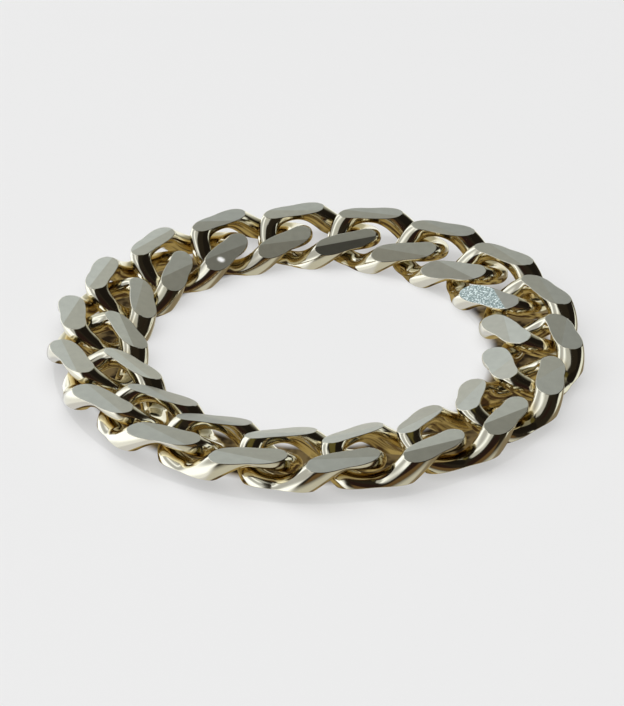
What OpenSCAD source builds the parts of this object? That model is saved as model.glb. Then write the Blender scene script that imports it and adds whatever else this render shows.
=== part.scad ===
// Chain link ring, in millimetres: a closed chain of curb links with four lapped flats each, an outer
// and an inner one above and below. The flats slope down to the sides of the link. The ring lies on
// its side, as it does when it is set down: its axis is +Z, and each link leans inwards, so that its
// lower inner flat lies on z = 0 and its upper outer flat is level.
// Link 1 is on +Y, and the numbers run clockwise as seen from above.

/* [Wire] */
// thickness of the wire along the two sides of a link
wire = 1.38; // [1.2:0.02:1.6]
// thickness of the wire round the two ends of a link, where bending draws it thinner
end_wire = 1.1; // [0.9:0.01:1.3]
// height of the pressed wire as a share of its width: the chain is pressed before it is lapped
pressed = 0.85; // [0.8:0.01:1]
// least gap between a link and its neighbour
link_gap = 0.1; // [0.05:0.01:0.2]

/* [Chain] */
// straight distance between the middles of neighbouring links
pitch = 3.8; // [3.4:0.05:4.4]
// number of links in the closed chain
link_count = 18; // [14:1:24]

/* [Flats] */
// thickness of a link from the middle of a lower flat to the middle of the upper one
lapped_height = 1.36; // [1.24:0.02:1.5]
// slope of each flat, in degrees, down towards the side of the link
flat_slope = 9; // [2:0.5:12]

/* [Mesh] */
// rings of points along the wire of one link
wire_stations = 40; // [24:4:60]
// sides of the wire's section
wire_sides = 8; // [6:1:12]

/* [Hidden] */
// The eye lets the neighbour's end and both its strands pass with the gap. The end crosses the eye
// aslant, which takes more than its own thickness, and a longer pitch slants it further.
aslant = 1.27;
slant_of_pitch = 0.107;
strand_share = 0.17;
gaps_crossed = 2.44;
eye_width = aslant * end_wire + strand_share * wire + slant_of_pitch * pitch + gaps_crossed * link_gap;
link_width = eye_width + 2 * wire;
// centre line of the wire, from the middle of the link
half_width = (link_width - wire) / 2;
// a link reaches this share of the pitch beyond its middle, round the neighbour's end
reach = 0.752;
half_length = reach * pitch;
// a strand at one end of the link lies this share of the wire above or below the middle, to clear
// the strand that crosses it
crossing_share = 0.69;
rise = crossing_share * (wire + link_gap);
end_twist = asin(rise / half_width);
// share of the half length over which the strands change from low to high
twist_span = 0.6;
// 2 is an ellipse, and a higher number squares the link's corners
squareness = 2.58;
// the same for the wire's section
wire_squareness = 2.3;
ring_radius = pitch / (2 * sin(180 / link_count));
// distance from the middle of the link to the middle of its flats, and the height of the ridge
// where the planes of two flats meet
flat_middle = 0.72 * half_width;
ridge = lapped_height / 2 + flat_middle * tan(flat_slope);
// the middle of a link lies this far above its lower inner flat
lie_height = ridge * cos(flat_slope);

function power(v, p) = sign(v) * pow(abs(v), p);
function eased(v) = let (c = max(-1, min(1, v))) c * (1.5 - c * c / 2);

// centre line at angle t: x along the chain clockwise, y away from the finger, z up
function centre_line(t) =
    let (
        x = half_length * power(cos(t), 2 / squareness),
        across = half_width * power(sin(t), 2 / squareness),
        twist = -end_twist * eased(x / half_length / twist_span)
    )
    [x, across * cos(twist), pressed * across * sin(twist)];

function unit(v) = v / norm(v);
function wire_radius(t) = (end_wire + (wire - end_wire) * pow(sin(t), 2)) / 2;

// how far the wire's section reaches, for radius 1, at angle a from level to upright
function section_reach(a) =
    let (level = pow(abs(cos(a)), wire_squareness), upright = pow(abs(sin(a)) / pressed, wire_squareness))
    pow(level + upright, -1 / wire_squareness);

// one ring of points round the wire at angle t, square to the centre line
step = 0.05;
function section(t) =
    let (
        along = unit(centre_line(t + step) - centre_line(t - step)),
        down = unit(along[2] * along - [0, 0, 1]),
        out = cross(down, along)
    )
    [for (s = [0 : wire_sides - 1])
        let (a = 360 * s / wire_sides, r = wire_radius(t) * section_reach(a))
        centre_line(t) + r * (cos(a) * out + sin(a) * down)];

// stations follow a plain circle's angle, bunched a little towards the ends of the link
station_angles = [for (i = [0 : wire_stations - 1]) 360 * (i + 0.5) / wire_stations];

module bent_wire() {
    points = [for (t = station_angles) each section(t)];
    faces = [
        for (i = [0 : wire_stations - 1], s = [0 : wire_sides - 1])
            let (
                j = (i + 1) % wire_stations,
                r = (s + 1) % wire_sides,
                a = i * wire_sides + s,
                b = j * wire_sides + s,
                c = j * wire_sides + r,
                d = i * wire_sides + r
            )
            each [[a, b, c], [a, c, d]]
    ];
    polyhedron(points, faces);
}

// the bar that lapping leaves, with its ridge along the link: all metal outside it is cut away
module lapped_bar() {
    side = link_width / 2 + wire;
    edge = ridge - side * tan(flat_slope);
    rotate([90, 0, 90])
    linear_extrude(height = 2 * pitch, center = true)
    polygon([
        [-side, -edge], [0, -ridge], [side, -edge],
        [side, edge], [0, ridge], [-side, edge]
    ]);
}

module curb_link() {
    intersection() {
        bent_wire();
        lapped_bar();
    }
}

module ring_link(k) {
    color("#c9c1a3")
    rotate([0, 0, -360 * (k - 1) / link_count])
    translate([0, ring_radius, lie_height])
    rotate([flat_slope, 0, 0])
    curb_link();
}

for (k = [1 : link_count])
    ring_link(k);
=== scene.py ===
"""Chain link ring: eighteen lapped curb links in polished pale metal, lying on a pale floor.

Every link of the frame is replaced by a finely swept one of the same form, with satin flats that
were lapped in two passes. Sizes of the links are in millimetres, as in the frame's source, and
become metres when a mesh is made.
"""

from __future__ import annotations

import logging
import math
from dataclasses import dataclass, field
from enum import Enum
from typing import Any, Mapping, Optional, Sequence, TypeVar, Union

import bpy
import numpy as np
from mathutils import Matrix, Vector


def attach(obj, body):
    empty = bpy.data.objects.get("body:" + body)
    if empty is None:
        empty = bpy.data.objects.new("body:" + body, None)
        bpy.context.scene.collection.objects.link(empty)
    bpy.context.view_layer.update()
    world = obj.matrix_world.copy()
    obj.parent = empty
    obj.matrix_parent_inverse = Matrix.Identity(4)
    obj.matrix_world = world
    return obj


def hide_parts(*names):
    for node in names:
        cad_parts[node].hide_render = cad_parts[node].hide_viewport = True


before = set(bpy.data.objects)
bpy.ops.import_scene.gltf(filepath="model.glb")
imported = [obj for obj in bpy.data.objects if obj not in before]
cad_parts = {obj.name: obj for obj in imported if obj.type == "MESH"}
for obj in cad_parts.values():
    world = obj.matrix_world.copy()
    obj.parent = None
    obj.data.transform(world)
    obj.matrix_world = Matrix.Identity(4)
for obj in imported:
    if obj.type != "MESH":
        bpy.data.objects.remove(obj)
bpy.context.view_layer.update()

LOG = logging.getLogger("chain_link_ring")
MM = 0.001
# a distance in millimetres that is further than anything the finish looks for
FAR = 9.0
Colour = tuple[float, float, float]
Value = Union["Shade", float, int, Sequence[float]]
Part = TypeVar("Part")


def unit(vectors: np.ndarray) -> np.ndarray:
    """Returns the vectors scaled to length 1."""
    return vectors / np.linalg.norm(vectors, axis=-1, keepdims=True)


def signed_power(values: np.ndarray, power: float) -> np.ndarray:
    """Returns a power of the values' sizes, with the values' own signs."""
    return np.sign(values) * np.abs(values) ** power


def turned(x: Part, y: Part, angle: float) -> tuple[Part, Part]:
    """Returns x and y turned by an angle in radians, from x towards y."""
    return x * math.cos(angle) - y * math.sin(angle), x * math.sin(angle) + y * math.cos(angle)


class Shade:
    """A shader socket that takes part in plain arithmetic, one Math node for each operation."""

    def __init__(self, graph: "Graph", socket: bpy.types.NodeSocket) -> None:
        """Keeps the output socket that this value stands for, and the graph that it is in."""
        self.graph = graph
        self.socket = socket

    def _math(self, operation: str, *values: Value) -> "Shade":
        """Adds one Math node and returns its result."""
        return self.graph.node("ShaderNodeMath", {"operation": operation}, dict(enumerate(values)))

    def __add__(self, other: Value) -> "Shade":
        """Sum."""
        return self._math("ADD", self, other)

    def __radd__(self, other: Value) -> "Shade":
        """Sum, reflected."""
        return self._math("ADD", other, self)

    def __sub__(self, other: Value) -> "Shade":
        """Difference."""
        return self._math("SUBTRACT", self, other)

    def __rsub__(self, other: Value) -> "Shade":
        """Difference, reflected."""
        return self._math("SUBTRACT", other, self)

    def __mul__(self, other: Value) -> "Shade":
        """Product."""
        return self._math("MULTIPLY", self, other)

    def __rmul__(self, other: Value) -> "Shade":
        """Product, reflected."""
        return self._math("MULTIPLY", other, self)

    def above(self, edge: float, softness: float) -> "Shade":
        """Changes from 0 to 1 at an edge.

        Args:
            edge: the value where the change is half done.
            softness: how far it reaches on each side of the edge.

        Returns:
            The mask, from 0 below the edge to 1 above it.
        """
        settings = {"interpolation_type": "SMOOTHSTEP"}
        sockets = {"Value": self, "From Min": edge - softness, "From Max": edge + softness}
        return self.graph.node("ShaderNodeMapRange", settings, sockets)

    def within(self, low: float, high: float, softness: float) -> "Shade":
        """Returns 1 between two edges and 0 outside them, softened at each edge."""
        return self.above(low, softness) * (1 - self.above(high, softness))


class Graph:
    """The nodes of one material or world."""

    def __init__(self, tree: bpy.types.NodeTree) -> None:
        """Empties the tree."""
        self.tree = tree
        tree.nodes.clear()

    def node(
        self,
        kind: str,
        settings: Optional[Mapping[str, Any]] = None,
        sockets: Optional[Mapping[Union[str, int], Value]] = None,
        output: Union[str, int] = 0,
    ) -> Optional[Shade]:
        """Adds one node.

        Args:
            kind: the node's type.
            settings: its properties, set first.
            sockets: values or links of its inputs, by identifier, name or number.
            output: the output that is returned.

        Returns:
            The chosen output, or None where the node has none.
        """
        made = self.tree.nodes.new(kind)
        for name, setting in (settings or {}).items():
            setattr(made, name, setting)
        for key, value in (sockets or {}).items():
            self._feed(self._socket(made.inputs, key), value)
        return Shade(self, self._socket(made.outputs, output)) if made.outputs else None

    def _feed(self, socket: bpy.types.NodeSocket, value: Value) -> None:
        """Links or sets one input.

        Args:
            socket: the input.
            value: a Shade to link, or a number, vector or colour to set.
        """
        if isinstance(value, Shade):
            self.tree.links.new(value.socket, socket)
        elif socket.type == "RGBA" and len(value) == 3:
            socket.default_value = (*value, 1.0)
        else:
            socket.default_value = value

    @staticmethod
    def _socket(sockets: Any, key: Union[str, int]) -> bpy.types.NodeSocket:
        """Finds a socket.

        Args:
            sockets: the inputs or outputs of a node.
            key: the socket's number, identifier or name.

        Returns:
            The socket.
        """
        if isinstance(key, int):
            return sockets[key]
        return next((s for s in sockets if s.identifier == key), None) or sockets[key]

    def mix(self, share: Value, first: Value, second: Value) -> Shade:
        """Mixes two colours: the share is that of the second."""
        sockets = {"Factor_Float": share, "A_Color": first, "B_Color": second}
        return self.node("ShaderNodeMix", {"data_type": "RGBA"}, sockets, "Result_Color")

    def noise(self, place: Value, scale: float, detail: float = 2.0) -> Shade:
        """Returns a noise value about 0.5 at a place."""
        sockets = {"Vector": place, "Scale": scale, "Detail": detail}
        return self.node("ShaderNodeTexNoise", {"noise_dimensions": "3D"}, sockets, "Fac")

    def stored(self, name: str, output: str = "Fac") -> Shade:
        """Returns what a mesh stores under a name: a number, or a vector with "Vector"."""
        return self.node("ShaderNodeAttribute", {"attribute_name": name}, output=output)

    def part(self, vector: Value, axis: str) -> Shade:
        """Returns the X, Y or Z part of a vector."""
        return self.node("ShaderNodeSeparateXYZ", sockets={0: vector}, output=axis)

    def vector(self, operation: str, *values: Value) -> Shade:
        """Adds one Vector Math node for whole vectors and returns its result."""
        return self.node("ShaderNodeVectorMath", {"operation": operation}, dict(enumerate(values)))

    def bearing(self, x: Shade, y: Shade, middle: float) -> Shade:
        """Measures a level direction against a middle one.

        Args:
            x: the direction's part to the right, seen from the camera.
            y: its part away from the camera.
            middle: the middle direction in degrees, clockwise from behind the ring.

        Returns:
            The angle clockwise from the middle, in degrees from -180 to 180.
        """
        aside, ahead = turned(x, y, math.radians(middle))
        turn = self.node("ShaderNodeMath", {"operation": "ARCTAN2"}, {0: aside, 1: ahead})
        return turn * math.degrees(1)


def new_material(name: str) -> tuple[bpy.types.Material, Graph]:
    """Makes an empty material.

    Args:
        name: the material's name.

    Returns:
        The material and its nodes.
    """
    material = bpy.data.materials.new(name)
    material.use_nodes = True
    return material, Graph(material.node_tree)


def new_object(name: str, data: bpy.types.ID) -> bpy.types.Object:
    """Puts an object into the scene.

    Args:
        name: the object's name.
        data: its mesh, light or camera.

    Returns:
        The object.
    """
    made = bpy.data.objects.new(name, data)
    bpy.context.collection.objects.link(made)
    return made


class Flat(Enum):
    """The four lapped flats of a link, as (level, side): level 1 is above and side 1 is outside."""

    UPPER_OUTER = (1, 1)
    UPPER_INNER = (1, -1)
    LOWER_OUTER = (-1, 1)
    LOWER_INNER = (-1, -1)


@dataclass(frozen=True)
class LinkForm:
    """Form of one curb link in its own frame, in millimetres, with the sizes of the frame's source.

    x runs clockwise along the chain, y away from the finger and z up. Angles t run round the link.
    """

    pitch: float
    lapped_height: float = 1.36
    flat_slope: float = math.radians(9)
    wire: float = 1.38
    end_wire: float = 1.1
    gap: float = 0.1
    aslant: float = 1.27
    slant_of_pitch: float = 0.107
    strand_share: float = 0.17
    gaps_crossed: float = 2.44
    reach: float = 0.752
    crossing_share: float = 0.69
    twist_span: float = 0.6
    squareness: float = 2.58
    flat_middle_share: float = 0.72
    pressed: float = 0.85
    wire_squareness: float = 2.3

    @property
    def half_width(self) -> float:
        """Distance from the middle of the link to the middle of a side's wire."""
        eye = self.aslant * self.end_wire + self.strand_share * self.wire
        eye += self.slant_of_pitch * self.pitch + self.gaps_crossed * self.gap
        return (eye + self.wire) / 2

    @property
    def flat_middle(self) -> float:
        """Distance from the middle of the link to the middle of a flat, across the chain."""
        return self.flat_middle_share * self.half_width

    @property
    def ridge(self) -> float:
        """Height over the middle of the link of the ridge where two flats' planes meet."""
        return self.lapped_height / 2 + self.flat_middle * math.tan(self.flat_slope)

    @property
    def lie_height(self) -> float:
        """Distance of every flat's plane from the link's middle, which lies so high over the floor."""
        return self.ridge * math.cos(self.flat_slope)

    def centre_line(self, t: np.ndarray) -> np.ndarray:
        """Follows the middle of the wire.

        Args:
            t: angles round the link.

        Returns:
            The points, one row for each angle.
        """
        power = 2 / self.squareness
        half_length = self.reach * self.pitch
        x = half_length * signed_power(np.cos(t), power)
        across = self.half_width * signed_power(np.sin(t), power)
        along = np.clip(x / half_length / self.twist_span, -1, 1)
        rise = self.crossing_share * (self.wire + self.gap)
        # the twist stops softly where along is -1 or 1
        twist = -math.asin(rise / self.half_width) * along * (1.5 - along**2 / 2)
        return np.stack([x, across * np.cos(twist), self.pressed * across * np.sin(twist)], axis=1)

    def wire_radius(self, t: np.ndarray) -> np.ndarray:
        """Returns the wire's radius at the angles t."""
        return (self.end_wire + (self.wire - self.end_wire) * np.sin(t) ** 2) / 2

    def reach_of_section(self, turn: np.ndarray) -> np.ndarray:
        """Measures how far the wire's pressed section reaches, for radius 1.

        Args:
            turn: angles round the wire, from level to upright.

        Returns:
            The distances from the middle of the wire.
        """
        power = self.wire_squareness
        level = np.abs(np.cos(turn)) ** power
        upright = (np.abs(np.sin(turn)) / self.pressed) ** power
        return (level + upright) ** (-1 / power)

    def plane(self, level: int, side: np.ndarray) -> np.ndarray:
        """Returns the outward normals of the lapped planes above or below, for the given sides."""
        lean = side * self.flat_slope
        return np.stack([0 * lean, np.sin(lean), level * np.cos(lean)], axis=1)


@dataclass(frozen=True)
class FlatLook:
    """What the lapping left on one flat.

    A crease runs over the flat, slanting outwards at crease_angle to its long side, and the metal
    below it was lapped in another pass, so it faces another way. The tone differs at random from flat
    to flat, and on some flats it is painted lighter or darker as painted reflection; lower_tone, below
    the crease, is mostly painted darker as painted shade. The grain is of the metal above the crease,
    and a glint is a painted highlight: a small white spot, in millimetres from the middle of the flat.
    """

    lean: tuple[float, float] = (0.0, 0.0)
    crease_angle: float = -18.0
    crease_place: float = 0.0
    tilt: tuple[float, float] = (0.0, -0.09)
    tone: float = 1.0
    lower_tone: float = 0.95
    grain: float = 0.0
    glint: Optional[tuple[float, float]] = None


# flats with marks of their own, by the link's number: their tones are painted reflection and shade,
# and the glint is a painted highlight
MARKED_FLATS: Mapping[tuple[int, Flat], FlatLook] = {
    (17, Flat.UPPER_INNER): FlatLook(tone=0.85, lower_tone=0.8, glint=(-0.75, -0.15)),
    (1, Flat.UPPER_INNER): FlatLook(
        crease_angle=-4, tone=0.85, lower_tone=0.25, tilt=(0.0, -0.12)
    ),
    (4, Flat.UPPER_INNER): FlatLook(crease_angle=146, crease_place=-0.4, lower_tone=0.66, grain=1.0),
    (6, Flat.UPPER_INNER): FlatLook(crease_angle=125, crease_place=-0.3, tilt=(0.0, -0.22)),
    (8, Flat.UPPER_OUTER): FlatLook(crease_angle=156, tone=1.12, lower_tone=0.74, tilt=(0.0, 0.05)),
    (9, Flat.UPPER_OUTER): FlatLook(crease_angle=165, tone=1.1, lower_tone=0.66, tilt=(0.0, 0.05)),
}

# painted reflection: tone of the flats that are painted duller or brighter than the rest for what they
# mirror, by the link's number
PAINTED_REFLECTION_TONES: Mapping[Flat, Mapping[int, float]] = {
    Flat.UPPER_OUTER: {
        3: 0.94, 5: 0.88, 6: 0.82, 10: 0.8, 12: 0.9, 14: 1.08, 15: 1.15, 16: 1.1, 17: 1.1, 18: 0.82
    },
    Flat.UPPER_INNER: {11: 0.82, 13: 1.35, 14: 1.2, 15: 1.12},
}


@dataclass(frozen=True)
class Cap:
    """What every station of a wire has on or over one lapped plane, in order round the wire.

    The round side before the cap ends at the angle start, and the one after it begins at end.
    """

    points: np.ndarray
    normals: np.ndarray
    cut: np.ndarray
    start: np.ndarray
    end: np.ndarray


@dataclass
class LinkSkin:
    """Fine skin of one link, swept along its wire, in the link's own frame in millimetres.

    The wire has a number of stations, and at each a ring of points: arc_points on each round side,
    and flat_points with an edge before and after them over each lapped plane. Where a plane hardly
    cuts the wire or misses it, they still take least_half_angle, in radians, on each side. The
    inner and outer planes change into each other over ridge_half_width on each side of the link's
    middle. The edge of a flat is rounded over ease, or over ease_share of a narrow flat's width,
    and lies lower by edge_drop of the ease.

    To be cut to its planes the section is sampled up to sweep_limit, in degrees, on each side.
    """

    form: LinkForm
    looks: Mapping[Flat, FlatLook]
    stations: int = 236
    arc_points: int = 15
    flat_points: int = 7
    least_half_angle: float = 0.16
    ridge_half_width: float = 0.5
    ease: float = 0.035
    ease_share: float = 0.125
    edge_drop: float = 0.2
    line_samples: int = 6001
    half_step: float = 0.03
    sweep_limit: float = 100.0
    sweep_samples: int = 401
    cut_tolerance: float = 1e-5
    centre: np.ndarray = field(init=False)
    along: np.ndarray = field(init=False)
    up: np.ndarray = field(init=False)
    out: np.ndarray = field(init=False)
    radius: np.ndarray = field(init=False)
    points: np.ndarray = field(init=False)
    normals: np.ndarray = field(init=False)
    cut: np.ndarray = field(init=False)
    lap: np.ndarray = field(init=False)
    crease: np.ndarray = field(init=False)
    tilt: np.ndarray = field(init=False)
    tone: np.ndarray = field(init=False)
    dimple: np.ndarray = field(init=False)

    def __post_init__(self) -> None:
        """Sweeps the wire and marks its flats."""
        self._follow_wire()
        self._sweep()
        self._mark_flats()

    def _follow_wire(self) -> None:
        """Sets the stations at equal distances along the wire, and a cross frame at each."""
        dense = np.linspace(0, 2 * math.pi, self.line_samples)
        line = self.form.centre_line(dense)
        run = np.concatenate([[0], np.cumsum(np.linalg.norm(np.diff(line, axis=0), axis=1))])
        place = np.linspace(0, run[-1], self.stations, endpoint=False)

        def at(where: np.ndarray) -> np.ndarray:
            """Returns the centre line at distances along it."""
            where = np.mod(where, run[-1])
            return np.stack([np.interp(where, run, line[:, a]) for a in range(3)], axis=1)

        self.centre = at(place)
        self.along = unit(at(place + self.half_step) - at(place - self.half_step))
        self.radius = self.form.wire_radius(np.interp(place, run, dense))
        self.up = unit(np.array([0.0, 0.0, 1.0]) - self.along[:, 2:3] * self.along)
        self.out = np.cross(self.along, self.up)

    def _normal(self, turn: np.ndarray) -> np.ndarray:
        """Works out the normals of the round wire.

        Args:
            turn: angles round the wire, one row for each station.

        Returns:
            The normals, one row for each station.
        """
        power = self.form.wire_squareness - 1
        level = signed_power(np.cos(turn), power)
        upright = signed_power(np.sin(turn), power) / self.form.pressed ** (power + 1)
        return unit(level[..., None] * self.out[:, None] + upright[..., None] * self.up[:, None])

    def _lay_row(
        self, sweep: np.ndarray, high: np.ndarray, wide: np.ndarray, reach: float
    ) -> tuple[np.ndarray, np.ndarray, np.ndarray, np.ndarray, np.ndarray]:
        """Lays one station's points on, or over, a lapped plane.

        Args:
            sweep: angles on each side of the way to the plane.
            high: how far the round section reaches towards the plane at each angle.
            wide: how far it lies to the side at each angle.
            reach: distance of the plane from the middle of the wire.

        Returns:
            The points' angles, their distances towards the plane and to the side, and which of them
            are cut by the plane or are edges of the cut.
        """
        over = high > reach
        first, last = np.flatnonzero((np.abs(sweep) <= self.least_half_angle) | over)[[0, -1]]
        start, end = wide[first], wide[last]
        ease = min(self.ease, (end - start) * self.ease_share)
        row = np.array([start, *np.linspace(start + ease, end - ease, self.flat_points), end])
        top = slice(np.argmin(wide), np.argmax(wide) + 1)
        turns = np.interp(row, wide[top], sweep[top])
        turns[[0, -1]] = sweep[[first, last]]
        section = np.interp(row, wide[top], high[top])
        is_cut = section > reach + self.cut_tolerance
        is_cut[[0, -1]] = False
        is_edge = np.zeros(len(row), dtype=bool)
        is_edge[[0, -1]] = over[[first, last]]
        return turns, np.minimum(section, reach), row, is_cut, is_edge

    def _cap(self, level: int) -> Cap:
        """Lays the points of every station that lie on, or over, one lapped plane.

        Args:
            level: 1 for the plane above and -1 for the one below.

        Returns:
            The cap.
        """
        side = np.clip(self.centre[:, 1] / self.ridge_half_width, -1, 1)
        plane = self.form.plane(level, side)
        out_part = np.sum(plane * self.out, axis=1)
        up_part = np.sum(plane * self.up, axis=1)
        turn = np.arctan2(up_part, out_part)
        reach = self.form.lie_height - np.sum(plane * self.centre, axis=1)
        reach = reach / np.hypot(out_part, up_part)
        toward = np.cos(turn)[:, None] * self.out + np.sin(turn)[:, None] * self.up
        aside = -np.sin(turn)[:, None] * self.out + np.cos(turn)[:, None] * self.up
        sweep = np.radians(np.linspace(-self.sweep_limit, self.sweep_limit, self.sweep_samples))
        far = self.radius[:, None] * self.form.reach_of_section(turn[:, None] + sweep)
        stations = zip(far * np.cos(sweep), far * np.sin(sweep), reach)
        rows = [self._lay_row(sweep, *station) for station in stations]
        turns, high, wide, is_cut, is_edge = (np.array(part)[..., None] for part in zip(*rows))
        turns = turns[..., 0]
        round_normals = self._normal(turn[:, None] + turns)
        flat_normals = np.broadcast_to(plane[:, None], round_normals.shape)
        middle = unit(flat_normals + round_normals)
        normals = np.where(is_cut, flat_normals, round_normals)
        points = self.centre[:, None] + high * toward[:, None] + wide * aside[:, None]
        step = self.ease / self.radius
        return Cap(
            points=points - self.edge_drop * self.ease * is_edge * middle,
            normals=np.where(is_edge, middle, normals),
            cut=is_cut[..., 0],
            start=turn + turns[:, 0] - step,
            end=turn + turns[:, -1] + step,
        )

    def _arc(self, start: np.ndarray, end: np.ndarray) -> tuple[np.ndarray, np.ndarray]:
        """Lays points on the round part of the wire between two angles.

        Args:
            start: the first angle at each station.
            end: the last angle at each station.

        Returns:
            The points and their normals.
        """
        turn = start[:, None] + (end - start)[:, None] * np.linspace(0, 1, self.arc_points)
        far = self.radius[:, None] * self.form.reach_of_section(turn)
        ways = np.cos(turn)[..., None] * self.out[:, None] + np.sin(turn)[..., None] * self.up[:, None]
        return self.centre[:, None] + far[..., None] * ways, self._normal(turn)

    def _sweep(self) -> None:
        """Joins the two caps and the two round sides of every station."""
        above, below = self._cap(1), self._cap(-1)
        outer = self._arc(below.end, above.start)
        inner = self._arc(above.end, below.start + 2 * math.pi)
        self.points = np.concatenate([above.points, inner[0], below.points, outer[0]], axis=1)
        self.normals = np.concatenate([above.normals, inner[1], below.normals, outer[1]], axis=1)
        round_part = np.zeros(inner[0].shape[:2], dtype=bool)
        self.cut = np.concatenate([above.cut, round_part, below.cut, round_part], axis=1)

    def _mark_flats(self) -> None:
        """Sets what the finish reads: places on the flats, creases, tilts, tones and painted glints.
        """
        shape = self.points.shape[:2]
        self.lap = np.zeros((*shape, 3))
        self.tilt = np.zeros((*shape, 3))
        self.tone = np.zeros((*shape, 3))
        self.crease = np.zeros(shape)
        self.dimple = np.full(shape, FAR)
        above = self.normals[..., 2] > 0
        outside = np.broadcast_to(self.centre[:, None, 1] > 0, shape)
        for flat, look in self.looks.items():
            level, side = flat.value
            self._mark(flat, look, (above == (level > 0)) & (outside == (side > 0)))

    def _mark(self, flat: Flat, look: FlatLook, mine: np.ndarray) -> None:
        """Sets what the finish reads on one flat and on the round metal next to it.

        Args:
            flat: the flat.
            look: what the lapping left on it.
            mine: which points are its own.
        """
        level, side = flat.value
        on_flat = mine & self.cut
        middle = self.points[on_flat].mean(axis=0)
        normal = self.form.plane(level, np.array([float(side)]))[0]
        station = np.argmin(np.linalg.norm(self.centre - middle, axis=1))
        long_way = self.along[station] * np.sign(self.along[station, 0])
        long_way = unit(long_way - np.dot(long_way, normal) * normal)
        cross_way = np.cross(normal, long_way) * level
        offset = self.points[mine] - middle
        along, across = offset @ long_way, offset @ cross_way
        self.lap[mine] = np.stack([along, across, self.cut[mine].astype(float)], axis=1)
        slant = math.radians(look.crease_angle)
        crease = across * math.cos(slant) - along * math.sin(slant)
        self.crease[mine] = crease - look.crease_place
        self.tilt[mine] = look.tilt[0] * long_way + look.tilt[1] * cross_way
        self.tone[mine] = (look.tone, look.lower_tone, look.grain)
        # painted highlight: distance from the white spot of the glint
        if look.glint:
            self.dimple[mine] = np.hypot(along - look.glint[0], across - look.glint[1])
        self.normals[on_flat] = unit(normal + look.lean[0] * long_way + look.lean[1] * cross_way)

    def faces(self) -> np.ndarray:
        """Joins the rings of points of neighbouring stations.

        Returns:
            The four points of each face, by their numbers.
        """
        first = np.arange(self.cut.size).reshape(self.cut.shape)
        ahead = np.roll(first, -1, axis=0)
        corners = [first, ahead, np.roll(ahead, -1, axis=1), np.roll(first, -1, axis=1)]
        return np.stack(corners, axis=-1).reshape(-1, 4)


@dataclass
class CurbLink:
    """One link of the chain, placed in the ring."""

    number: int
    form: LinkForm
    ring_radius: float
    link_count: int
    looks: Mapping[Flat, FlatLook]
    wire_samples: int = 160

    @property
    def node(self) -> str:
        """Name of the link's node in the frame."""
        return f"link_{self.number:02d}"

    def _place(self, vectors: np.ndarray, is_point: bool) -> np.ndarray:
        """Takes points or directions from the link's frame to the ring's.

        Args:
            vectors: the points or directions, along the array's last axis.
            is_point: True for points, which also move from the ring's axis to the link's place.

        Returns:
            The placed points or directions.
        """
        x, y, z = np.moveaxis(vectors, -1, 0)
        y, z = turned(y, z, self.form.flat_slope)
        if is_point:
            y, z = y + self.ring_radius, z + self.form.lie_height
        x, y = turned(x, y, -2 * math.pi * (self.number - 1) / self.link_count)
        return np.stack([x, y, z], axis=-1)

    def _recess(self, points: np.ndarray) -> np.ndarray:
        """Measures how close the skin is to the wires of the two neighbouring links.

        Args:
            points: points of the skin in the link's frame, one row for each station.

        Returns:
            The distance of each point to the middle of the nearer wire.
        """
        step = 2 * math.pi / self.link_count
        around = np.linspace(0, 2 * math.pi, self.wire_samples, endpoint=False)
        x, y, z = self._place(self.form.centre_line(around), True).T
        skin = self._place(points, True).reshape(-1, 3)
        least = np.full(len(skin), FAR)
        for way in (-1, 1):
            wire = np.stack([*turned(x, y, way * step), z], axis=1)
            distance = np.linalg.norm(skin[:, None] - wire[None], axis=2).min(axis=1)
            least = np.minimum(least, distance)
        return least.reshape(points.shape[:2])

    def make(self, metal: bpy.types.Material) -> bpy.types.Object:
        """Builds the link's object.

        Args:
            metal: the finish of the link.

        Returns:
            The object, which stands for the link's node.
        """
        skin = LinkSkin(self.form, self.looks)
        faces = skin.faces()
        points = self._place(skin.points, True).reshape(-1, 3) * MM
        mesh = bpy.data.meshes.new(f"{self.node}_skin")
        mesh.from_pydata(points.tolist(), [], faces.tolist())
        mesh.polygons.foreach_set("use_smooth", np.ones(len(faces), dtype=bool))
        normals = self._place(skin.normals, False).reshape(-1, 3)
        mesh.normals_split_custom_set_from_vertices(normals.tolist())
        self._store(mesh, "lap", "FLOAT_VECTOR", skin.lap)
        self._store(mesh, "tilt", "FLOAT_VECTOR", self._place(skin.tilt, False))
        self._store(mesh, "tone", "FLOAT_VECTOR", skin.tone)
        self._store(mesh, "crease", "FLOAT", skin.crease)
        self._store(mesh, "dimple", "FLOAT", skin.dimple)
        self._store(mesh, "recess", "FLOAT", self._recess(skin.points))
        mesh.materials.append(metal)
        link = new_object(f"{self.node}_lapped", mesh)
        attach(link, "root")
        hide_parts(self.node)
        return link

    @staticmethod
    def _store(mesh: bpy.types.Mesh, name: str, kind: str, values: np.ndarray) -> None:
        """Stores one value or vector per vertex for the finish.

        Args:
            mesh: the link's mesh.
            name: the name that the finish reads.
            kind: FLOAT for numbers and FLOAT_VECTOR for vectors.
            values: the values in the order of the vertices.
        """
        attribute = mesh.attributes.new(name, kind, "POINT")
        key = "value" if kind == "FLOAT" else "vector"
        attribute.data.foreach_set(key, np.ascontiguousarray(values, dtype=np.float32).ravel())


@dataclass(frozen=True)
class LapMasks:
    """Where the skin is flat, below a crease, frosted or glinting: each is 0 to 1."""

    flat: Shade
    below: Shade
    frosted: Shade
    glint: Shade


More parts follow.
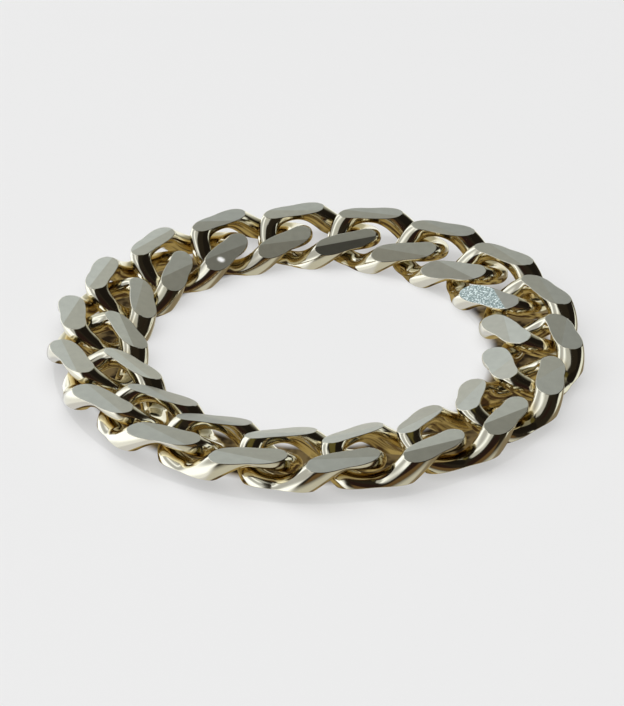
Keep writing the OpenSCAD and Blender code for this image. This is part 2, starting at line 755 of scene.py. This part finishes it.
@dataclass(frozen=True)
class PaleMetal:
    """Polished pale metal whose lapped flats are satin.

    Each limit is a pair: where a change is half done, and how far it reaches on each side. Those of
    the painted recess shade and of the painted glint are distances in millimetres, as the skin stores
    them. The scales of the noises count per metre, and line_depth is in metres.
    """

    wire_colour: Colour = (0.84, 0.78, 0.60)
    wire_roughness: float = 0.1
    # painted shade and painted golden reflection, where the neighbouring links are close
    recess_shade_colour: Colour = (0.55, 0.42, 0.17)
    recess_shade_share: float = 0.8
    recess_shade_limit: tuple[float, float] = (0.95, 0.25)
    cloud_scale: float = 900.0
    cloud_share: float = 0.3
    flat_colour: Colour = (0.61, 0.62, 0.565)
    # painted shade: below its crease the flat is painted darker and more olive
    flat_lower_colour: Colour = (0.575, 0.565, 0.485)
    flat_roughness: float = 0.30
    flat_metallic: float = 0.8
    flat_limit: tuple[float, float] = (0.5, 0.3)
    crease_limit: tuple[float, float] = (0.0, 0.02)
    mottle_scale: float = 2400.0
    mottle_detail: float = 4.0
    mottle_least: float = 0.88
    mottle_share: float = 0.24
    frost_colour: Colour = (0.24, 0.32, 0.32)
    frost_dullness: float = 0.5
    speckle_colour: Colour = (0.90, 1.0, 1.0)
    speckle_scale: float = 11000.0
    speckle_limit: tuple[float, float] = (0.55, 0.1)
    # painted highlight: the glint is a white spot, made dull rather than metal
    glint_colour: Colour = (1.0, 1.0, 1.0)
    glint_limit: tuple[float, float] = (0.2, 0.1)
    line_stretch: tuple[float, float, float] = (0.7, 16.0, 0.0)
    line_detail: float = 3.0
    line_strength: float = 0.25
    line_depth: float = 2e-5

    def _masks(self, g: Graph, lap: Shade, tone: Shade) -> LapMasks:
        """Works out where the marks of the lapping are.

        Args:
            g: the material's nodes.
            lap: place on the flat along, across and, as 1 or 0, on it.
            tone: tones above and below the crease, and the grain.

        Returns:
            The masks.
        """
        below = 1 - g.stored("crease").above(*self.crease_limit)
        return LapMasks(
            flat=g.part(lap, "Z").above(*self.flat_limit),
            below=below,
            frosted=g.part(tone, "Z") * (1 - below),
            # painted highlight: where the white spot of the glint lies
            glint=1 - g.stored("dimple").above(*self.glint_limit),
        )

    def _wire(self, g: Graph, place: Shade) -> Shade:
        """Colours the round wire, painted darker and golden close to the neighbouring links as painted
        shade and painted reflection, broken up by clouds.

        Args:
            g: the material's nodes.
            place: the place that the clouds follow.

        Returns:
            The colour.
        """
        # painted shade: darker golden colour where the neighbouring links are close
        close = 1 - g.stored("recess").above(*self.recess_shade_limit)
        clouds = (g.noise(place, self.cloud_scale) - 0.5) * self.cloud_share
        return g.mix(close * self.recess_shade_share + clouds, self.wire_colour, self.recess_shade_colour)

    def _flat(self, g: Graph, place: Shade, tone: Shade, masks: LapMasks) -> Shade:
        """Colours the satin flats, with tones painted lighter or darker as painted reflection and
        shade, their frosting and their painted glint.

        Args:
            g: the material's nodes.
            place: the place that the mottle and the speckles follow.
            tone: tones above and below the crease, and the grain.
            masks: where the marks of the lapping are.

        Returns:
            The colour.
        """
        upper, lower = (g.part(tone, axis) for axis in "XY")
        # painted shade: the metal below the crease takes the lower tone, painted darker on most flats
        level = upper + masks.below * (lower - upper)
        mottle = g.noise(place, self.mottle_scale, self.mottle_detail) * self.mottle_share
        level = level * (self.mottle_least + mottle)
        grey = g.node("ShaderNodeCombineXYZ", sockets={0: level, 1: level, 2: level})
        flat = g.mix(masks.below, self.flat_colour, self.flat_lower_colour)
        flat = g.vector("MULTIPLY", flat, grey)
        speckles = g.noise(place, self.speckle_scale).above(*self.speckle_limit)
        frost = g.mix(speckles, self.frost_colour, self.speckle_colour)
        flat = g.mix(masks.frosted, flat, frost)
        # painted highlight: the glint paints the flat white
        return g.mix(masks.glint, flat, self.glint_colour)

    def _facing(self, g: Graph, lap: Shade, masks: LapMasks) -> Shade:
        """Tilts the flats below their creases and draws the lines of the lapping over them.

        Args:
            g: the material's nodes.
            lap: place on the flat along, across and, as 1 or 0, on it.
            masks: where the marks of the lapping are.

        Returns:
            The normal.
        """
        sockets = {0: g.stored("tilt", "Vector"), "Scale": masks.below * masks.flat}
        tilt = g.node("ShaderNodeVectorMath", {"operation": "SCALE"}, sockets)
        normal = g.vector("ADD", g.node("ShaderNodeNewGeometry", output="Normal"), tilt)
        lines = g.noise(g.vector("MULTIPLY", lap, self.line_stretch), 1.0, self.line_detail)
        return g.node(
            "ShaderNodeBump",
            sockets={
                "Strength": self.line_strength,
                "Distance": self.line_depth,
                "Height": lines * masks.flat,
                "Normal": g.vector("NORMALIZE", normal),
            },
        )

    def make(self) -> bpy.types.Material:
        """Builds the material.

        Returns:
            The material of the links, which reads what their skins store.
        """
        metal, g = new_material("pale_metal_lapped")
        lap, tone = (g.stored(name, "Vector") for name in ("lap", "tone"))
        place = g.node("ShaderNodeTexCoord", output="Object")
        masks = self._masks(g, lap, tone)
        colour = g.mix(masks.flat, self._wire(g, place), self._flat(g, place, tone, masks))
        # the painted glint and the frost are dull rather than metal, so their pale colour shows under
        # the lamp
        dull = masks.glint + masks.frosted * self.frost_dullness
        dull = masks.flat * (1 - self.flat_metallic) + masks.flat * dull * self.flat_metallic
        roughness = self.wire_roughness + masks.flat * (self.flat_roughness - self.wire_roughness)
        shader = g.node(
            "ShaderNodeBsdfPrincipled",
            sockets={
                "Base Color": colour,
                "Metallic": 1 - dull,
                "Roughness": roughness,
                "Normal": self._facing(g, lap, masks),
            },
        )
        g.node("ShaderNodeOutputMaterial", sockets={"Surface": shader})
        return metal


@dataclass(frozen=True)
class LapSpread:
    """How much a flat differs by chance from the next, as spreads of what FlatLook holds."""

    lean: float = 0.012
    crease_angle: float = 8.0
    crease_place: float = 0.08
    tone: float = 0.04
    lower_tone: float = 0.05


@dataclass
class LinkChain:
    """The closed chain; its flats' tone below the crease is about lower_tone."""

    link_count: int = 18
    pitch: float = 3.8
    seed: int = 40
    # painted shade: below their creases the flats are painted about this much darker
    lower_tone: float = 0.92
    spread: LapSpread = LapSpread()

    @property
    def ring_radius(self) -> float:
        """Distance from the ring's axis to the middle of a link."""
        return self.pitch / (2 * math.sin(math.pi / self.link_count))

    def looks(self, number: int) -> dict[Flat, FlatLook]:
        """Works out what the lapping left on the flats of one link.

        Most flats differ a little by chance, and MARKED_FLATS have marks of their own.

        Args:
            number: the link's number.

        Returns:
            The look of each flat.
        """
        chance = np.random.default_rng(self.seed + number)
        made = {}
        for flat in Flat:
            # painted reflection: listed flats are painted lighter or darker; below each crease the
            # flat is painted darker as painted shade
            painted_reflection = PAINTED_REFLECTION_TONES.get(flat, {}).get(number, 1.0)
            made[flat] = MARKED_FLATS.get((number, flat)) or FlatLook(
                lean=tuple(chance.normal(0, self.spread.lean, 2)),
                crease_angle=FlatLook.crease_angle + chance.normal(0, self.spread.crease_angle),
                crease_place=chance.normal(0, self.spread.crease_place),
                tone=painted_reflection * (1 + chance.normal(0, self.spread.tone)),
                lower_tone=painted_reflection * (self.lower_tone + chance.normal(0, self.spread.lower_tone)),
            )
        return made

    def make(self, metal: bpy.types.Material) -> list[bpy.types.Object]:
        """Builds every link.

        Args:
            metal: the finish of the links.

        Returns:
            The links in order.
        """
        form = LinkForm(self.pitch)
        links = []
        for number in range(1, self.link_count + 1):
            link = CurbLink(number, form, self.ring_radius, self.link_count, self.looks(number))
            links.append(link.make(metal))
        return links


@dataclass(frozen=True)
class Panel:
    """A bright or dark panel of the tent, in degrees; its middle is clockwise from behind the ring."""

    middle: float
    half_width: float
    bottom: float
    top: float
    colour: Colour
    softness: float


@dataclass(frozen=True)
class FloorShade:
    """Brown shade on the floor right under the chain: lengths in millimetres, arc in degrees.

    The arc runs clockwise from behind the ring, and its middle lies back from the ring's axis. The
    shade thins out over fade along its two edges, unless that is 0, and over end_fade, in degrees, at
    its two ends. It glows with its own colour as painted shade, and its golden patches are painted
    reflection of the gold links; its dark and golden patches follow a noise, whose scale counts per
    metre.
    """

    name: str
    height: float
    inner: float
    outer: float
    arc: tuple[float, float]
    dark: Colour
    golden: Colour
    back: float = 0.0
    fade: float = 0.0
    end_fade: float = 14.0
    patch_scale: float = 1100.0
    patch_limit: tuple[float, float] = (0.5, 0.12)
    arc_points: int = 121

    def _thin_out(self, g: Graph, place: Shade, shader: Shade) -> Shade:
        """Makes the shade see-through towards its edges and its two ends.

        Args:
            g: the material's nodes.
            place: the place on the shade, in metres from its middle.
            shader: what the shade is made of.

        Returns:
            The shader with its edges and ends thinned out.
        """
        radius = g.node("ShaderNodeVectorMath", {"operation": "LENGTH"}, {0: place}, "Value")
        half = self.fade / 2
        share = (radius * (1 / MM)).within(self.inner + half, self.outer - half, half)
        half = self.end_fade / 2
        reach = (self.arc[1] - self.arc[0]) / 2 - half
        turn = g.bearing(g.part(place, "X"), g.part(place, "Y"), sum(self.arc) / 2)
        share = share * turn.within(-reach, reach, half)
        clear = g.node("ShaderNodeBsdfTransparent")
        return g.node("ShaderNodeMixShader", sockets={0: share, 1: clear, 2: shader})

    def _dress(self) -> bpy.types.Material:
        """Builds the shade's material.

        Returns:
            The material.
        """
        material, g = new_material(self.name)
        place = g.node("ShaderNodeTexCoord", output="Object")
        patches = g.noise(place, self.patch_scale).above(*self.patch_limit)
        colour = g.mix(patches, self.dark, self.golden)
        # painted shade with painted golden reflection, glowing as an emission
        shader = g.node("ShaderNodeEmission", sockets={"Color": colour})
        if self.fade:
            shader = self._thin_out(g, place, shader)
        g.node("ShaderNodeOutputMaterial", sockets={"Surface": shader})
        return material

    def make(self) -> bpy.types.Object:
        """Lays the shade at its height over the floor.

        Returns:
            The shade, a flat arc.
        """
        way = np.radians(np.linspace(*self.arc, self.arc_points))
        rim = np.stack([np.sin(way), np.cos(way), 0 * way], axis=1)
        points = np.concatenate([self.inner * rim, self.outer * rim]) * MM
        count = self.arc_points
        faces = [(i, i + 1, count + i + 1, count + i) for i in range(count - 1)]
        mesh = bpy.data.meshes.new(self.name)
        mesh.from_pydata(points.tolist(), [], faces)
        mesh.materials.append(self._dress())
        shade = new_object(self.name, mesh)
        shade.location = (0.0, self.back * MM, self.height * MM)
        shade.visible_diffuse = False
        return shade


@dataclass
class Studio:
    """Floor, light and camera.

    The floor and the lamp are in metres. The camera's distance and the point that it looks at are
    in millimetres, in a frame that is turned by camera_turn, in degrees, against the ring's. The
    horizon is the height where the tent's low tone has half changed to its high one, and how far
    that change reaches on each side, in degrees.
    """

    floor_colour: Colour = (0.34, 0.34, 0.34)
    floor_glow: Colour = (0.475, 0.475, 0.475)
    floor_half: float = 2.0
    lamp_size: float = 1.8
    lamp_place: tuple[float, float, float] = (-0.45, -0.25, 0.6)
    lamp_watts: float = 14.6
    horizon: tuple[float, float] = (-14.0, 14.0)
    tent_low: Colour = (0.56, 0.56, 0.52)
    tent_high: Colour = (0.022, 0.018, 0.013)
    panels: tuple[Panel, ...] = (
        Panel(-85, 62, -100, -8, (0.66, 0.68, 0.76), 10),
        Panel(74, 38, -100, -8, (0.24, 0.20, 0.14), 12),
        Panel(-100, 38, 50, 76, (0.50, 0.52, 0.54), 5),
        Panel(0, 40, 50, 80, (0.11, 0.095, 0.03), 6),
        Panel(-2, 36, 0, 50, (0.44, 0.46, 0.43), 9),
        Panel(-24, 19, -6, 46, (0.63, 0.66, 0.65), 9),
        Panel(22, 17, 18, 54, (0.26, 0.26, 0.22), 9),
        Panel(0, 32, -22, 3, (1.02, 1.05, 1.02), 6),
        Panel(72, 40, 22, 74, (0.012, 0.010, 0.008), 5),
        Panel(171, 30, 4, 60, (0.022, 0.012, 0.010), 5),
        Panel(165, 34, -8, 20, (0.13, 0.08, 0.035), 5),
        Panel(-88, 56, -40, 32, (0.90, 0.94, 1.02), 5),
        Panel(-86, 52, -20, 54, (1.35, 1.44, 1.6), 6),
        Panel(76, 20, -12, 14, (0.9, 0.95, 0.95), 3),
        Panel(-96, 48, 15, 45, (0.48, 0.50, 0.54), 9),
    )
    mirrored_shade: FloorShade = FloorShade(
        name="mirrored_shade",
        height=0.004,
        inner=8.7,
        outer=13.2,
        arc=(0, 360),
        dark=(0.055, 0.031, 0.014),
        golden=(0.38, 0.29, 0.12),
    )
    seen_shade: FloorShade = FloorShade(
        name="seen_shade",
        height=0.008,
        inner=8.7,
        outer=12.2,
        arc=(52, 340),
        dark=(0.02, 0.013, 0.007),
        golden=(0.15, 0.105, 0.045),
        back=0.3,
        fade=0.6,
    )
    focal_pixels: float = 1903.0
    picture_height: int = 706
    sensor_height: float = 24.0
    clip: tuple[float, float] = (0.005, 20.0)
    elevation: float = 31.15
    distance: float = 93.8
    camera_turn: float = 1.13
    look_at: tuple[float, float, float] = (-0.20, -2.18, 1.22)

    def _seen_from(self, x: float, y: float, z: float) -> Vector:
        """Returns a place in the camera's turned frame as one in the ring's, in metres."""
        return Vector((*turned(x, y, math.radians(self.camera_turn)), z)) * MM

    def make_camera(self) -> bpy.types.Object:
        """Places the camera at the photograph's angle.

        Returns:
            The camera.
        """
        data = bpy.data.cameras.new("camera")
        data.sensor_fit = "VERTICAL"
        data.sensor_height = self.sensor_height
        data.lens = self.focal_pixels / self.picture_height * self.sensor_height
        data.clip_start, data.clip_end = self.clip
        camera = new_object("camera", data)
        rise = math.radians(self.elevation)
        x, y, z = self.look_at
        target = self._seen_from(x, y, z)
        y, z = y - self.distance * math.cos(rise), z + self.distance * math.sin(rise)
        eye = self._seen_from(x, y, z)
        camera.location = eye
        camera.rotation_euler = (target - eye).to_track_quat("-Z", "Y").to_euler()
        bpy.context.scene.camera = camera
        return camera

    def make_floor(self) -> bpy.types.Object:
        """Lays the pale floor, which shows directly but isn't mirrored by the ring.

        Returns:
            The floor.
        """
        material, g = new_material("pale_floor")
        lit = g.node("ShaderNodeBsdfDiffuse", sockets={"Color": self.floor_colour})
        glow = g.node("ShaderNodeEmission", sockets={"Color": self.floor_glow})
        shader = g.node("ShaderNodeAddShader", sockets={0: lit, 1: glow})
        g.node("ShaderNodeOutputMaterial", sockets={"Surface": shader})
        mesh = bpy.data.meshes.new("floor")
        half = self.floor_half
        corners = [(-half, -half, 0), (half, -half, 0), (half, half, 0), (-half, half, 0)]
        mesh.from_pydata(corners, [], [(0, 1, 2, 3)])
        mesh.materials.append(material)
        floor = new_object("floor", mesh)
        floor.visible_glossy = False
        return floor

    def make_shades(self) -> list[bpy.types.Object]:
        """Lays the shade that the ring mirrors, and the one that shows through the links' eyes.

        Returns:
            The two shades.
        """
        mirrored, seen = self.mirrored_shade.make(), self.seen_shade.make()
        mirrored.visible_camera = False
        seen.visible_glossy = False
        return [mirrored, seen]

    def make_lamp(self) -> bpy.types.Object:
        """Hangs one broad soft lamp over the floor; the metal mirrors the tent, not the lamp.

        Returns:
            The lamp.
        """
        data = bpy.data.lights.new("soft_lamp", "AREA")
        data.shape = "DISK"
        data.size = self.lamp_size
        data.energy = self.lamp_watts
        lamp = new_object("soft_lamp", data)
        lamp.location = self.lamp_place
        lamp.visible_glossy = False
        return lamp

    def make_tent(self) -> bpy.types.World:
        """Puts up the tent that the metal mirrors, with its bright and dark panels.

        Returns:
            The tent, which is the scene's world.
        """
        world = bpy.data.worlds.new("tent")
        bpy.context.scene.world = world
        world.use_nodes = True
        world.cycles_visibility.diffuse = False
        g = Graph(world.node_tree)
        way = g.node("ShaderNodeTexCoord", output="Generated")
        x, y, z = (g.part(way, axis) for axis in "XYZ")
        height = g.node("ShaderNodeMath", {"operation": "ARCSINE"}, {0: z}) * math.degrees(1)
        colour = g.mix(height.above(*self.horizon), self.tent_low, self.tent_high)
        for panel in self.panels:
            turn = g.bearing(x, y, panel.middle)
            mask = turn.within(-panel.half_width, panel.half_width, panel.softness)
            mask = mask * height.within(panel.bottom, panel.top, panel.softness)
            colour = g.mix(mask, colour, panel.colour)
        shader = g.node("ShaderNodeBackground", sockets={"Color": colour, "Strength": 1.0})
        g.node("ShaderNodeOutputWorld", sockets={"Surface": shader})
        return world


def main() -> None:
    """Builds the ring and its studio."""
    bpy.context.scene.view_settings.view_transform = "Standard"
    studio = Studio()
    for piece in (
        studio.make_camera(),
        studio.make_floor(),
        *studio.make_shades(),
        studio.make_lamp(),
        studio.make_tent(),
    ):
        LOG.info("%s is in place", piece.name)
    for link in LinkChain().make(PaleMetal().make()):
        LOG.info("%s: %d faces", link.name, len(link.data.polygons))


if __name__ == "__main__":
    logging.basicConfig(level=logging.INFO, format="%(name)s: %(message)s")
    main()
